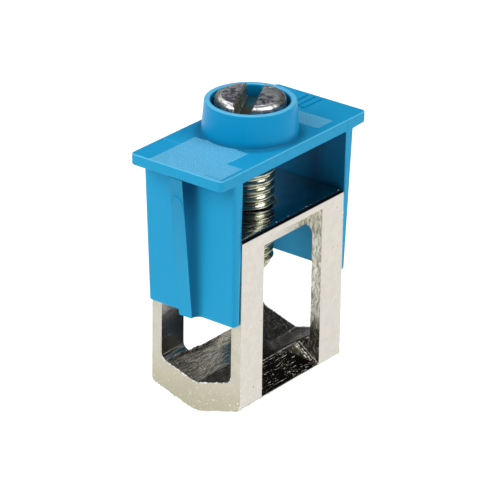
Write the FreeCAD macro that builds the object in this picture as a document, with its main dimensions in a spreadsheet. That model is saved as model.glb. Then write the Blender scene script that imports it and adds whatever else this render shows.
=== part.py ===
"""Feed-through terminal clamp: a plated clamping frame, its clamping screw and a moulded insulating cover.

Units are millimetres. The origin is the middle of the frame's foot, +Z is up.
X runs along the conductor tunnel and the long side of the cover, Y through the two windows of the frame.
"""
import FreeCAD, Part
import Sketcher
import os
import sys

document = FreeCAD.newDocument("TerminalClamp")

# Driving dimensions. Each one can be changed by itself.
SIZES = [
    # clamping frame
    ("frame_long", 19.15, "length of the frame along the tunnel"),
    ("frame_deep", 13.0, "depth of the frame over its two legs"),
    ("frame_high", 23.2, "height of the frame over its foot"),
    ("leg_thick", 1.4, "thickness of each leg"),
    ("roof_thick", 3.7, "thickness of the roof that carries the thread"),
    ("floor_thick", 3.45, "thickness of the floor at its lowest line"),
    ("floor_slope", 0.305, "rise of the floor for each millimetre sideways"),
    ("foot_wide", 1.2, "flat under the lowest line of the floor"),
    ("roof_round", 0.5, "rounding of the roof's outer edges"),
    ("heel_round", 0.8, "rounding of the legs' lower outer edges"),
    ("foot_round", 1.6, "rounding beside the foot"),
    ("ceiling_round", 1.0, "rounding between legs and ceiling"),
    ("floor_round", 0.9, "rounding between legs and floor"),
    ("window_wide", 11.0, "width of the windows in the legs"),
    ("window_lintel", 1.1, "metal left between a window and the roof's top"),
    ("window_cut", 2.4, "depth of the window cut from the leg's outer face"),
    ("ramp_lip", 0.2, "height of the ramp's lower end over the leg's lower edge"),
    # clamping screw
    ("screw_wide", 5.9, "outside diameter of the screw's thread"),
    ("screw_long", 16.9, "length of the screw under its head"),
    ("head_wide", 8.3, "diameter of the screw's head"),
    ("head_high", 4.0, "height of the screw's head"),
    ("head_round", 0.5, "bevel round the head's top edge"),
    ("slot_wide", 2.0, "width of the driver slot"),
    ("slot_deep", 1.75, "depth of the driver slot"),
    ("slot_turn", 25.0, "angle of the slot from the X axis, in degrees"),
    ("tip_taper", 0.6, "inward taper of the screw's tip"),
    ("tip_high", 1.2, "height of the screw's tapered tip"),
    # insulating cover
    ("cover_gap", 7.25, "gap between the frame's roof and the cover's plate, with the screw backed out"),
    ("plate_overhang", 2.35, "how far the plate stands out past each end wall"),
    ("cover_overlap", 0.05, "how much wider than the frame's legs the cover is, each side"),
    ("plate_thick", 1.4, "thickness of the cover's plate"),
    ("plate_corner", 0.6, "radius of the plate's corners"),
    ("plate_edge", 0.15, "rounding of the plate's upper edges"),
    ("seat_thick", 1.8, "material under the screw's head"),
    ("wall_thick", 1.55, "thickness of an end wall at its top"),
    ("wall_thin", 0.9, "thickness of an end wall at its bottom"),
    ("wall_long", 17.8, "length of the end walls below the plate"),
    ("wall_inset", 0.3, "how much narrower a wall is at its bottom, each side"),
    ("wall_corner", 0.45, "rounding of the walls' outer upright edges"),
    ("wall_foot", 0.2, "rounding of the walls' lower outer edges"),
    ("rib_wide", 1.9, "width of the gusset rib on a wall"),
    ("rib_inset", 0.05, "distance of the rib's top from the plate's end"),
    ("rib_bottom", 0.95, "how far the rib stands out at its bottom"),
    ("rib_round", 0.8, "rounding at the root of the rib"),
    ("collar_high", 4.0, "height of the collar over the plate"),
    ("collar_wall", 0.7, "thickness of the collar at its rim"),
    ("collar_draft", 0.35, "how much wider the collar is at its base, each side"),
    ("collar_root", 0.2, "rounding at the root of the collar"),
    ("collar_rim", 0.2, "rounding of the collar's rim"),
    ("nub_size", 0.3, "how far each nub stands in from the collar's bore"),
    ("nub_high", 0.7, "height of each nub"),
    ("nub_below", 0.35, "distance of the nubs below the rim"),
    ("nub_turn", 18.0, "angle of the first nub from the X axis, in degrees"),
    ("mark_high", 0.15, "height of the three raised bars on the plate"),
    ("mark_long", 3.5, "length of the raised bars"),
    ("mark_wide", 0.5, "width of the raised bars"),
    ("mark_pitch", 1.0, "distance from bar to bar"),
    ("mark_edge", 0.7, "distance of the bars from the plate's end"),
    ("mark_aside", 0.65, "distance of the middle bar from the cover's middle"),
    # clearances
    ("thread_play", 0.05, "radial clearance between the screw and its hole in the frame"),
    ("shank_play", 0.35, "radial clearance between the screw and its hole in the cover"),
    ("head_play", 0.45, "radial clearance between the screw's head and the collar"),
    ("wall_play", 0.1, "clearance between an end wall and the frame"),
    ("hole_bevel", 0.3, "bevel at the mouth of the threaded hole"),
]
NUB_COUNT = 4
MARK_COUNT = 3
BEYOND = 1.0
FULL_TURN = 360.0
NEAR = 0.02

sheet = document.addObject("Spreadsheet::Sheet", "Sizes")
for row, (name, value, meaning) in enumerate(SIZES, start=1):
    sheet.set(f"A{row}", meaning)
    sheet.set(f"B{row}", str(value))
    sheet.setAlias(f"B{row}", name)
document.recompute()


def size(text):
    """Turns the bracketed sizes of a formula into references to the sheet."""
    return text.replace("[", "Sizes.").replace("]", "")


def value_of(text):
    """Works a formula of sizes out to a number."""
    return float(sheet.evalExpression(size(text)))


# Places that several pieces share, as formulas.
HALF_LONG = "([frame_long] / 2)"
HALF_DEEP = "([frame_deep] / 2)"
HALF_FOOT = "([foot_wide] / 2)"
HEEL_Z = f"(({HALF_DEEP} - {HALF_FOOT}) * [floor_slope])"
INNER_Y = f"({HALF_DEEP} - [leg_thick])"
INNER_CORNER_Z = f"([floor_thick] + {INNER_Y} * [floor_slope])"
CEILING_Z = "([frame_high] - [roof_thick])"
CUT_Y = f"({HALF_DEEP} - [window_cut])"
LINTEL_Z = "([frame_high] - [window_lintel])"
CREASE_Z = f"([floor_thick] + {CUT_Y} * [floor_slope])"
RAMP_Z = f"({HEEL_Z} + [ramp_lip])"
RAMP_FALL = f"(({CREASE_Z} - {RAMP_Z}) / [window_cut])"
PLATE_LOW = "([frame_high] + [cover_gap])"
PLATE_TOP = f"({PLATE_LOW} + [plate_thick])"
SEAT_Z = f"({PLATE_LOW} + [seat_thick])"
HEAD_TOP = f"({SEAT_Z} + [head_high])"
TIP_Z = f"({SEAT_Z} - [screw_long])"
RIM_Z = f"({PLATE_TOP} + [collar_high])"
COVER_Y = f"({HALF_DEEP} + [cover_overlap])"
WALL_IN = f"({HALF_LONG} + [wall_play])"
WALL_OUT = f"({WALL_IN} + [wall_thick])"
WALL_OUT_LOW = f"({WALL_IN} + [wall_thin])"
WALL_LOW = f"({PLATE_LOW} - [wall_long])"
PLATE_X = f"({WALL_OUT} + [plate_overhang])"
BORE_R = "([head_wide] / 2 + [head_play])"
COLLAR_R = f"({BORE_R} + [collar_wall])"
SCREW_R = "([screw_wide] / 2)"
HEAD_R = "([head_wide] / 2)"


def origin_plane(body, role):
    """Finds one of a body's own origin planes."""
    for feature in body.Origin.OriginFeatures:
        if feature.Role == role:
            return feature
    raise RuntimeError(f"no plane {role}")


def new_body(label):
    body = document.addObject("PartDesign::Body", label)
    body.Label = label
    return body


def new_sketch(body, name, role, offset="0"):
    """Adds an empty sketch on an origin plane, raised along the plane's normal."""
    sketch = body.newObject("Sketcher::SketchObject", name)
    sketch.AttachmentSupport = [(origin_plane(body, role), "")]
    sketch.MapMode = "FlatFace"
    if offset != "0":
        sketch.setExpression("AttachmentOffset.Base.z", size(offset))
    document.recompute()
    return sketch


def place_point(sketch, index, end, across, up):
    """Ties one end of a line to its place, given as two formulas."""
    for kind, formula, axis in (("DistanceX", across, -2), ("DistanceY", up, -1)):
        if formula == "0":
            sketch.addConstraint(Sketcher.Constraint("PointOnObject", index, end, axis))
            continue
        made = sketch.addConstraint(Sketcher.Constraint(kind, -1, 1, index, end, value_of(formula)))
        sketch.setExpression(f"Constraints[{made}]", size(formula))


def outline(sketch, corners):
    """Draws a closed outline through corners that are pairs of formulas."""
    points = [FreeCAD.Vector(value_of(across), value_of(up), 0) for across, up in corners]
    first = sketch.GeometryCount
    for start, end in zip(points, points[1:] + points[:1]):
        sketch.addGeometry(Part.LineSegment(start, end), False)
    last = first + len(points) - 1
    for index in range(first, last + 1):
        follower = first if index == last else index + 1
        sketch.addConstraint(Sketcher.Constraint("Coincident", index, 2, follower, 1))
    for index, (across, up) in enumerate(corners, start=first):
        place_point(sketch, index, 1, across, up)


def circle(sketch, radius, across="0", up="0"):
    """Draws a circle whose radius and centre are formulas."""
    centre = FreeCAD.Vector(value_of(across), value_of(up), 0)
    upward = FreeCAD.Vector(0, 0, 1)
    index = sketch.addGeometry(Part.Circle(centre, upward, value_of(radius)), False)
    if across == "0" and up == "0":
        sketch.addConstraint(Sketcher.Constraint("Coincident", index, 3, -1, 1))
    else:
        place_point(sketch, index, 3, across, up)
    made = sketch.addConstraint(Sketcher.Constraint("Radius", index, value_of(radius)))
    sketch.setExpression(f"Constraints[{made}]", size(radius))


def extruded(body, kind, name, sketch, length, both_ways=False, reverse=False):
    """Makes a Pad or Pocket of a sketch, and checks which way it changed the solid."""
    before = body.Shape.Volume if body.Tip else 0.0
    feature = body.newObject(f"PartDesign::{kind}", name)
    feature.Profile = sketch
    feature.setExpression("Length", size(length))
    feature.Midplane = both_ways
    feature.Reversed = reverse
    document.recompute()
    grown = body.Shape.Volume > before
    if grown != (kind == "Pad") or abs(body.Shape.Volume - before) < NEAR * NEAR:
        raise RuntimeError(f"{name} changed the solid the wrong way")
    return feature


def turned(body, name, sketch):
    """Makes a full turn of a sketch about the vertical axis of its plane."""
    feature = body.newObject("PartDesign::Revolution", name)
    feature.Profile = sketch
    feature.ReferenceAxis = (sketch, ["V_Axis"])
    feature.Angle = FULL_TURN
    document.recompute()
    return feature


def edges_where(body, wanted):
    """Names the edges of a body's solid that a test accepts."""
    shape = body.Tip.Shape
    return [f"Edge{index}" for index, edge in enumerate(shape.Edges, start=1) if wanted(edge)]


def softened(body, kind, name, wanted, amount):
    """Rounds (Fillet) or bevels (Chamfer) the edges that a test accepts."""
    names = edges_where(body, wanted)
    if not names:
        raise RuntimeError(f"{name} found no edge")
    base = body.Tip
    feature = body.newObject(f"PartDesign::{kind}", name)
    feature.Base = (base, names)
    feature.setExpression("Radius" if kind == "Fillet" else "Size", size(amount))
    document.recompute()
    return feature


def near(first, second):
    return abs(first - second) < NEAR


def runs_along_x(edge, across, up):
    """Tells whether an edge runs along X at a place given by formulas, on either side of the middle."""
    start, end = edge.Vertexes[0].Point, edge.Vertexes[-1].Point
    if not (near(start.y, end.y) and near(start.z, end.z)) or near(start.x, end.x):
        return False
    return near(abs(start.y), value_of(across)) and near(start.z, value_of(up))


def ring_at(edge, radius, up):
    """Tells whether an edge is a circle about the Z axis of a given radius and height."""
    if edge.Degenerated or edge.Curve.TypeId != "Part::GeomCircle":
        return False
    centre = edge.Curve.Center
    level = near(centre.z, value_of(up)) and near(centre.x, 0) and near(centre.y, 0)
    return level and near(edge.Curve.Radius, value_of(radius))


def make_frame():
    """The closed ring with its V-shaped floor, its two windows and the hole for the screw."""
    body = new_body("clamp_frame")
    section = new_sketch(body, "ring_section", "YZ_Plane")
    outline(section, [
        (HALF_FOOT, "0"), (HALF_DEEP, HEEL_Z), (HALF_DEEP, "[frame_high]"),
        (f"-{HALF_DEEP}", "[frame_high]"), (f"-{HALF_DEEP}", HEEL_Z), (f"-{HALF_FOOT}", "0"),
    ])
    outline(section, [
        ("0", "[floor_thick]"), (INNER_Y, INNER_CORNER_Z), (INNER_Y, CEILING_Z),
        (f"-{INNER_Y}", CEILING_Z), (f"-{INNER_Y}", INNER_CORNER_Z),
    ])
    extruded(body, "Pad", "ring", section, "[frame_long]", both_ways=True)
    for name, across, up, amount in (
        ("roof_rounding", HALF_DEEP, "[frame_high]", "[roof_round]"),
        ("heel_rounding", HALF_DEEP, HEEL_Z, "[heel_round]"),
        ("foot_rounding", HALF_FOOT, "0", "[foot_round]"),
        ("ceiling_rounding", INNER_Y, CEILING_Z, "[ceiling_round]"),
        ("floor_rounding", INNER_Y, INNER_CORNER_Z, "[floor_round]"),
    ):
        softened(body, "Fillet", name, lambda edge: runs_along_x(edge, across, up), amount)
    windows = new_sketch(body, "window_section", "YZ_Plane")
    outside = f"({HALF_DEEP} + {BEYOND})"
    ramp_end = f"({RAMP_Z} - {RAMP_FALL} * {BEYOND})"
    for side in ("", "-"):
        outline(windows, [
            (f"{side}{outside}", LINTEL_Z), (f"{side}{CUT_Y}", LINTEL_Z),
            (f"{side}{CUT_Y}", CREASE_Z), (f"{side}{outside}", ramp_end),
        ])
    extruded(body, "Pocket", "windows", windows, "[window_wide]", both_ways=True)
    hole = new_sketch(body, "hole_outline", "XY_Plane", "[frame_high]")
    hole_radius = f"({SCREW_R} + [thread_play])"
    circle(hole, hole_radius)
    extruded(body, "Pocket", "screw_hole", hole, f"[roof_thick] + {BEYOND} / 2")
    softened(body, "Chamfer", "hole_mouth",
             lambda edge: ring_at(edge, hole_radius, "[frame_high]"), "[hole_bevel]")
    return body


def make_screw():
    """The cheese-head screw, its shank as thick as the thread's crests."""
    body = new_body("clamp_screw")
    profile = new_sketch(body, "screw_profile", "XZ_Plane")
    outline(profile, [
        ("0", TIP_Z), (f"({SCREW_R} - [tip_taper])", TIP_Z), (SCREW_R, f"({TIP_Z} + [tip_high])"),
        (SCREW_R, SEAT_Z), (HEAD_R, SEAT_Z), (HEAD_R, HEAD_TOP), ("0", HEAD_TOP),
    ])
    turned(body, "screw_turning", profile)
    softened(body, "Chamfer", "head_bevel", lambda edge: ring_at(edge, HEAD_R, HEAD_TOP), "[head_round]")
    slot = new_sketch(body, "slot_outline", "XY_Plane", HEAD_TOP)
    reach = f"({HEAD_R} + {BEYOND})"
    half = "([slot_wide] / 2)"
    outline(slot, [(f"-{reach}", f"-{half}"), (reach, f"-{half}"), (reach, half), (f"-{reach}", half)])
    extruded(body, "Pocket", "driver_slot", slot, "[slot_deep]")
    body.setExpression("Placement.Rotation.Angle", size("[slot_turn]"))
    return body


def make_plate(body):
    """The cover's flat plate with its rounded corners."""
    sketch = new_sketch(body, "plate_outline", "XY_Plane", PLATE_LOW)
    outline(sketch, [
        (f"-{PLATE_X}", f"-{COVER_Y}"), (PLATE_X, f"-{COVER_Y}"),
        (PLATE_X, COVER_Y), (f"-{PLATE_X}", COVER_Y),
    ])
    extruded(body, "Pad", "plate", sketch, "[plate_thick]")
    softened(body, "Fillet", "plate_corners", plate_corner_edge, "[plate_corner]")
    softened(body, "Fillet", "plate_edging", top_edge, "[plate_edge]")


def plate_corner_edge(edge):
    """Tells whether an edge stands upright at a corner of the plate."""
    low, high = ends_by_height(edge)
    upright = near(low.x, high.x) and near(low.y, high.y) and high.z - low.z > NEAR
    return upright and near(abs(low.x), value_of(PLATE_X))


def make_walls(body):
    """The two end walls, each narrower and thinner at its bottom, with rounded outer edges."""
    low_y = f"({COVER_Y} - [wall_inset])"
    for end, sign in (("right", ""), ("left", "-")):
        sketch = new_sketch(body, f"{end}_wall_section", "XZ_Plane")
        outline(sketch, [
            (f"{sign}{WALL_IN}", WALL_LOW), (f"{sign}{WALL_OUT_LOW}", WALL_LOW),
            (f"{sign}{WALL_OUT}", PLATE_LOW), (f"{sign}{WALL_IN}", PLATE_LOW),
        ])
        extruded(body, "Pad", f"{end}_wall", sketch, f"2 * {COVER_Y}", both_ways=True)
    taper = new_sketch(body, "taper_section", "YZ_Plane")
    for sign in ("", "-"):
        outline(taper, [
            (f"{sign}{COVER_Y}", PLATE_LOW), (f"{sign}{low_y}", WALL_LOW), (f"{sign}{COVER_Y}", WALL_LOW),
        ])
    extruded(body, "Pocket", "wall_taper", taper, f"2 * {PLATE_X}", both_ways=True)
    softened(body, "Fillet", "wall_rounding", wall_corner_edge, "[wall_corner]")


def make_ribs(body):
    """The tapered gusset rib on each wall's outer face, with rounded roots."""
    for end, sign in (("right", ""), ("left", "-")):
        sketch = new_sketch(body, f"{end}_rib_section", "XZ_Plane")
        outline(sketch, [
            (f"{sign}{WALL_IN}", WALL_LOW), (f"{sign}({WALL_OUT_LOW} + [rib_bottom])", WALL_LOW),
            (f"{sign}({PLATE_X} - [rib_inset])", PLATE_LOW), (f"{sign}{WALL_IN}", PLATE_LOW),
        ])
        extruded(body, "Pad", f"{end}_rib", sketch, "[rib_wide]", both_ways=True)
    softened(body, "Fillet", "rib_rooting", rib_root_edge, "[rib_round]")
    softened(body, "Fillet", "wall_footing", wall_foot_edge, "[wall_foot]")


def wall_corner_edge(edge):
    """Tells whether an edge runs down an outer corner of a wall."""
    low, high = ends_by_height(edge)
    whole = near(low.z, value_of(WALL_LOW)) and near(high.z, value_of(PLATE_LOW))
    outward = near(abs(high.x), value_of(WALL_OUT)) and near(abs(low.x), value_of(WALL_OUT_LOW))
    return whole and outward and near(abs(high.y), value_of(COVER_Y))


def ends_by_height(edge):
    """Gives an edge's two ends, the lower first."""
    return sorted((edge.Vertexes[0].Point, edge.Vertexes[-1].Point), key=lambda point: point.z)


def wall_foot_edge(edge):
    """Tells whether an edge is the lower outer edge of a wall."""
    low, high = ends_by_height(edge)
    outer = value_of(WALL_OUT_LOW)
    level = near(low.z, value_of(WALL_LOW)) and near(high.z, value_of(WALL_LOW))
    return level and near(abs(low.x), outer) and near(abs(high.x), outer)


def rib_root_edge(edge):
    """Tells whether an edge lies in the root between a rib's side and a wall's outer face."""
    low, high = ends_by_height(edge)
    half_rib = value_of("[rib_wide] / 2")
    beside = near(abs(low.y), half_rib) and near(abs(high.y), half_rib)
    outward = near(abs(high.x), value_of(WALL_OUT)) and near(high.z, value_of(PLATE_LOW))
    return beside and outward and high.z - low.z > value_of("[wall_long] / 2")


def make_collar(body):
    """The round collar that holds the screw's head, with its bore, seat and nubs."""
    profile = new_sketch(body, "collar_profile", "XZ_Plane")
    outline(profile, [
        ("0", PLATE_TOP), (f"({COLLAR_R} + [collar_draft])", PLATE_TOP), (COLLAR_R, RIM_Z), ("0", RIM_Z),
    ])
    turned(body, "collar", profile)
    bore = new_sketch(body, "bore_outline", "XY_Plane", RIM_Z)
    circle(bore, BORE_R)
    extruded(body, "Pocket", "head_bore", bore, f"{RIM_Z} - {SEAT_Z}")
    passage = new_sketch(body, "passage_outline", "XY_Plane", SEAT_Z)
    circle(passage, f"({SCREW_R} + [shank_play])")
    extruded(body, "Pocket", "screw_passage", passage, f"[seat_thick] + {BEYOND}")
    root = f"({COLLAR_R} + [collar_draft])"
    softened(body, "Fillet", "collar_rooting", lambda edge: ring_at(edge, root, PLATE_TOP), "[collar_root]")
    softened(body, "Fillet", "collar_rimming",
             lambda edge: ring_at(edge, COLLAR_R, RIM_Z) or ring_at(edge, BORE_R, RIM_Z), "[collar_rim]")
    nub = new_sketch(body, "nub_outline", "XY_Plane", f"{RIM_Z} - [nub_below] - [nub_high]")
    nub.setExpression("AttachmentOffset.Rotation.Angle", size("[nub_turn]"))
    circle(nub, "[nub_size]", BORE_R)
    first = extruded(body, "Pad", "nub", nub, "[nub_high]")
    ring = body.newObject("PartDesign::PolarPattern", "nub_ring")
    ring.Originals = [first]
    ring.Axis = (nub, ["N_Axis"])
    ring.Angle = FULL_TURN
    ring.Occurrences = NUB_COUNT
    document.recompute()
    body.Tip = ring
    document.recompute()


def make_marks(body):
    """Three plain raised bars beside the collar."""
    sketch = new_sketch(body, "mark_outline", "XY_Plane", PLATE_TOP)
    right = f"({PLATE_X} - [mark_edge])"
    left = f"({right} - [mark_long])"
    for count in range(MARK_COUNT):
        low = f"([mark_aside] + ({count} - {MARK_COUNT // 2}) * [mark_pitch] - [mark_wide] / 2)"
        high = f"({low} + [mark_wide])"
        outline(sketch, [(left, low), (right, low), (right, high), (left, high)])
    extruded(body, "Pad", "marks", sketch, "[mark_high]")


def top_edge(edge):
    """Tells whether an edge lies on the rim of the plate's upper face."""
    level = value_of(PLATE_TOP)
    points = [vertex.Point for vertex in edge.Vertexes]
    if not all(near(point.z, level) for point in points):
        return False
    middle = edge.valueAt((edge.FirstParameter + edge.LastParameter) / 2)
    end_side = near(abs(middle.x), value_of(PLATE_X))
    long_side = near(abs(middle.y), value_of(COVER_Y))
    far_out = abs(middle.x) > value_of(f"{PLATE_X} - [plate_corner]")
    corner = far_out and abs(middle.y) > value_of(f"{COVER_Y} - [plate_corner]")
    return end_side or long_side or corner


def make_cover():
    """The moulded cover: plate, end walls with ribs, collar and marks."""
    body = new_body("insulating_cover")
    body.AllowCompound = True
    make_walls(body)
    make_ribs(body)
    make_plate(body)
    make_collar(body)
    make_marks(body)
    return body


pieces = [make_frame(), make_screw(), make_cover()]
document.recompute()

faults = [item.Label for item in document.Objects if "Invalid" in item.State or "Error" in item.State]
for piece in pieces:
    if piece.Shape.isNull() or not piece.Shape.isValid() or len(piece.Shape.Solids) != 1:
        faults.append(piece.Label)
if faults:
    print("failed:", ", ".join(faults))
    sys.exit(1)

os.makedirs("parts", exist_ok=True)
for piece in pieces:
    piece.Shape.exportStep(f"parts/{piece.Label}.step")
    box = piece.Shape.optimalBoundingBox(False)
    print(f"{piece.Label}: volume {piece.Shape.Volume:.2f}, x {box.XMin:.2f} to {box.XMax:.2f}, "
          f"y {box.YMin:.2f} to {box.YMax:.2f}, z {box.ZMin:.2f} to {box.ZMax:.2f}")
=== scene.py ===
"""Feed-through terminal clamp: its finishes, the screw's thread and the fine details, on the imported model."""
import math
import random
import bmesh
import bpy
from mathutils import Matrix, Vector
from mathutils.bvhtree import BVHTree


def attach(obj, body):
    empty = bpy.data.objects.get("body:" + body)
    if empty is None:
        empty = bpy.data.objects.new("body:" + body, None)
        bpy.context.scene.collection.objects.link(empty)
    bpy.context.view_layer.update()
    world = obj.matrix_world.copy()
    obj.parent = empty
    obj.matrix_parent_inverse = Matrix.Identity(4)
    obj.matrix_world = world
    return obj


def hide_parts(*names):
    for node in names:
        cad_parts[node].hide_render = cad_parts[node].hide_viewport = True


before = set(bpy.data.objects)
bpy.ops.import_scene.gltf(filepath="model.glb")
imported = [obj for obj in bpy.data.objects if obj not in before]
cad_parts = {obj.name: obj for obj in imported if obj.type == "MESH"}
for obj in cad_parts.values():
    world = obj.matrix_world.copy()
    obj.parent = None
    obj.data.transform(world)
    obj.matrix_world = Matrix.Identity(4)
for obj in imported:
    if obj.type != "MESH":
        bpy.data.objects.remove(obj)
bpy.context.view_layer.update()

MM = 0.001

# Sizes of the frame in millimetres, as in the solid model.
FRAME_X = 9.575
FRAME_Y = 6.5
FRAME_TOP = 23.2
CEILING = 19.5
FLOOR = 3.45
LEG_INNER = 5.1
WINDOW_X = 5.5
WINDOW_Y = 4.1
WINDOW_TOP = 22.1
WINDOW_FOOT = 4.9
SILL_TOP = 4.72
RAMP_FOOT = 1.9
HOLE_R = 3.0

# Sizes of the cover. WALL_FOOT_DOWN is just under the walls' lower edge with the clamp closed.
PLATE_X = 13.575
PLATE_Y = 6.55
PLATE_LOW = 30.45
PLATE_TOP = 31.85
COLLAR_TOP = 35.85
COLLAR_BORE = 4.6
COLLAR_FOOT = 5.65
RIB_Y = 0.95
RIB_LEAN = 0.112
WALL_X = 9.6
WALL_FOOT_DOWN = 5.7

# Sizes of the screw. The thread starts THREAD_START up, with a crest at its first column.
SEAT = 32.25
HEAD_TOP = 36.25
HEAD_R = 4.15
SCREW_TIP = 15.35
CREST_R = 2.95
ROOT_R = 2.6
TIP_R = CREST_R - 0.6
PITCH = 1.0
THREAD_START = SCREW_TIP + 0.35
SLOT_TURN = 27.0
SLOT_SHIFT = 0.15

# Details that the solids leave out.
EDGE_BREAK = 0.06
PLATE_FOOT_ROUND = 0.22
HEAD_RIM = 3.4

# Burr, each kind as the spacing and the size of its chips.
BURR_SEED = 41
LEG_BURR = (0.7, 0.06)
SIDE_BURR = (0.5, 0.08)
FOOT_BURR = (0.13, 0.1)
MOUTH_BURR = (0.07, 0.085)
JAMB_BURR = (0.15, 0.07)
LIP_BURR = (0.25, 0.09)
WINDOW_BURR = (0.5, 0.04)
CREASE_BURR = (0.16, 0.06)
ROOF_BURR = (0.9, 0.05)

# The thread's mesh: columns round the axis, and stations up one pitch, closest together at the crest.
TURN_COLUMNS = 72
CREST_HALF = 0.045
THREAD_STATIONS = (
    0.0, 0.045, 0.06, 0.09, 0.14, 0.2, 0.28, 0.38, 0.5, 0.62, 0.72, 0.8, 0.86, 0.91, 0.94, 0.955,
)

# Places of a piece's finishes in its list of materials.
ROLLED, SAWN, TORN, RAMP, DRAWN, GRITTY, BRIGHT = range(7)
SHANK, HEAD, SLOT, CREST = range(4)
DARK_CHIP = 1


# Shader nodes.
class NodeTree:
    """Adds nodes to a tree and joins them. A value is a number, colour, vector or another node's output."""

    def __init__(self, tree):
        self.tree = tree

    def feed(self, socket, value):
        """Joins an output to a socket, or sets the socket's own value."""
        if isinstance(value, bpy.types.NodeSocket):
            self.tree.links.new(value, socket)
        else:
            socket.default_value = value

    def add(self, kind, values=None, **settings):
        """Adds a node with its settings and what its sockets get, by their names or numbers."""
        node = self.tree.nodes.new(kind)
        for name, setting in settings.items():
            setattr(node, name, setting)
        for key, value in (values or {}).items():
            self.feed(node.inputs[key], value)
        return node

    def math(self, operation, first, second=0.0, clamp=False):
        """Reckons with one or two numbers."""
        node = self.add("ShaderNodeMath", {0: first, 1: second}, operation=operation, use_clamp=clamp)
        return node.outputs[0]

    def vector_math(self, operation, first, **values):
        """Reckons with vectors: values are the second one, or sockets by name; gives the node's outputs."""
        node = self.add("ShaderNodeVectorMath", {0: first}, operation=operation)
        for name, value in values.items():
            self.feed(node.inputs[1] if name == "second" else node.inputs[name], value)
        return node.outputs

    def weigh(self, *pairs):
        """Adds up values, each times its weight."""
        total = None
        for value, weight in pairs:
            part = self.math("MULTIPLY", value, weight)
            total = part if total is None else self.math("ADD", total, part)
        return total

    def step(self, value, start, end):
        """Runs smoothly from 0 to 1 while a value runs from start to end."""
        node = self.add(
            "ShaderNodeMapRange", {"Value": value, "From Min": start, "From Max": end},
            interpolation_type="SMOOTHSTEP",
        )
        return node.outputs["Result"]

    def band(self, value, below, above):
        """A mask between two soft borders, each given as where it is 0 and where it is 1."""
        return self.math("MULTIPLY", self.step(value, *below), self.step(value, *above))

    def mix(self, share, first, second):
        """Mixes two colours."""
        return self.add("ShaderNodeMix", {0: share, 6: first, 7: second}, data_type="RGBA").outputs[2]

    def group(self, group, **values):
        """Places a node group; gives its outputs."""
        return self.add("ShaderNodeGroup", values, node_tree=group).outputs

    def place(self):
        """The point on the piece, in millimetres of its own frame."""
        coordinates = self.add("ShaderNodeTexCoord").outputs["Object"]
        return self.vector_math("SCALE", coordinates, Scale=1 / MM)[0]

    def parts(self, vector):
        """The x, y and z of a vector."""
        return self.add("ShaderNodeSeparateXYZ", {0: vector}).outputs

    def reach(self, place):
        """How far a point lies from the screw's axis."""
        flat = self.vector_math("MULTIPLY", place, second=(1.0, 1.0, 0.0))[0]
        return self.vector_math("LENGTH", flat)["Value"]


def new_group(name, inputs, outputs):
    """Starts a shader node group with named sockets; inputs are name, kind and default value."""
    group = bpy.data.node_groups.new(name, "ShaderNodeTree")
    for label, kind, value in inputs:
        socket = group.interface.new_socket(label, in_out="INPUT", socket_type="NodeSocket" + kind)
        if value is not None:
            socket.default_value = value
    for label, kind in outputs:
        group.interface.new_socket(label, in_out="OUTPUT", socket_type="NodeSocket" + kind)
    tree = NodeTree(group)
    source = tree.add("NodeGroupInput")
    sink = tree.add("NodeGroupOutput")
    return group, tree, source.outputs, sink.inputs


def make_grain_group():
    """Noise drawn out along chosen directions: mill marks, sawn grit, moulded texture."""
    group, tree, given, sink = new_group(
        "surface_grain",
        [("Place", "Vector", None), ("Stretch", "Vector", (1.0, 1.0, 1.0)), ("Scale", "Float", 4.0),
         ("Detail", "Float", 4.0), ("Roughness", "Float", 0.6)],
        [("Height", "Float"), ("Spread", "Float")],
    )
    texture = tree.add("ShaderNodeTexNoise", {
        "Vector": tree.vector_math("MULTIPLY", given["Place"], second=given["Stretch"])[0],
        "Scale": given["Scale"], "Detail": given["Detail"], "Roughness": given["Roughness"],
    })
    height = texture.outputs[0]
    tree.feed(sink["Height"], height)
    tree.feed(sink["Spread"], tree.step(height, 0.38, 0.62))
    return group


def make_box_group():
    """A mask that is 1 inside a box and falls off over a soft rim."""
    group, tree, given, sink = new_group(
        "box_mask",
        [("Place", "Vector", None), ("Middle", "Vector", (0.0, 0.0, 0.0)),
         ("Half", "Vector", (1.0, 1.0, 1.0)), ("Rim", "Float", 0.05)],
        [("Mask", "Float")],
    )
    offset = tree.vector_math("SUBTRACT", given["Place"], second=given["Middle"])[0]
    away = tree.vector_math("ABSOLUTE", offset)[0]
    x, y, z = tree.parts(tree.vector_math("SUBTRACT", away, second=given["Half"])[0])
    widest = tree.math("MAXIMUM", tree.math("MAXIMUM", x, y), z)
    share = tree.math("DIVIDE", widest, given["Rim"])
    tree.feed(sink["Mask"], tree.math("SUBTRACT", 0.5, share, clamp=True))
    return group


GRAIN = make_grain_group()
BOX = make_box_group()


def new_paint(name, colour, rough, metal):
    """A material with its Principled shader; gives the material, its tree and the shader."""
    paint = bpy.data.materials.new(name)
    paint.use_nodes = True
    shader = paint.node_tree.nodes["Principled BSDF"]
    shader.inputs["Base Color"].default_value = (*colour, 1)
    shader.inputs["Roughness"].default_value = rough
    shader.inputs["Metallic"].default_value = metal
    return paint, NodeTree(paint.node_tree), shader


def bump(tree, shader, height, distance):
    """Joins a height to a shader's normal; one unit of height stands out by a distance in millimetres."""
    node = tree.add("ShaderNodeBump", {"Height": height, "Distance": distance * MM, "Strength": 1.0})
    tree.feed(shader.inputs["Normal"], node.outputs[0])


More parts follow.
